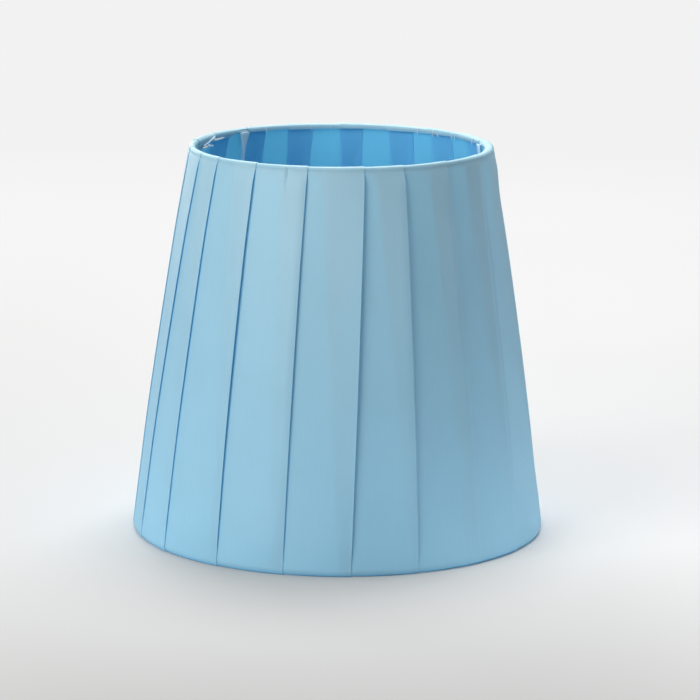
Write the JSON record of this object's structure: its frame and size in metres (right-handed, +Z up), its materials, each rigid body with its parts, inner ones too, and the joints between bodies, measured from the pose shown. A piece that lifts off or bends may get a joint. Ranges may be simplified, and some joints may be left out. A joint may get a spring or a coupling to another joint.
{
  "type": "candle lamp shade",
  "caption": "Small tapered lampshade of overlapping satin ribbons stretched over a welded wire frame, with a recessed ring that drops over a candle lamp's holder.",
  "frame": {"origin": "centre of the circle that the shade stands on, at the bottom of the hem", "axes": "+Z up along the shade's axis, -Y towards the viewer of the picture, +X to its right"},
  "size_m": [0.1396, 0.1397, 0.13],
  "materials": {
    "satin_ribbon": "pale blue satin, soft sheen",
    "frame_lacquer": "white lacquer on steel wire"
  },
  "bodies": {
    "root": {"top_ring": "frame_lacquer", "bottom_ring": "frame_lacquer", "fitter_ring": "frame_lacquer", "strut_front": "frame_lacquer", "strut_right": "frame_lacquer", "strut_back_left": "frame_lacquer", "fitter_arm_front": "frame_lacquer", "fitter_arm_right": "frame_lacquer", "fitter_arm_back_left": "frame_lacquer", "ribbon_01": "satin_ribbon", "ribbon_02": "satin_ribbon", "ribbon_03": "satin_ribbon", "ribbon_04": "satin_ribbon", "ribbon_05": "satin_ribbon", "ribbon_06": "satin_ribbon", "ribbon_07": "satin_ribbon", "ribbon_08": "satin_ribbon", "ribbon_09": "satin_ribbon", "ribbon_10": "satin_ribbon", "ribbon_11": "satin_ribbon", "ribbon_12": "satin_ribbon", "ribbon_13": "satin_ribbon", "ribbon_14": "satin_ribbon", "ribbon_15": "satin_ribbon", "ribbon_16": "satin_ribbon", "ribbon_17": "satin_ribbon", "ribbon_18": "satin_ribbon", "ribbon_19": "satin_ribbon"}
  },
  "joints": []
}
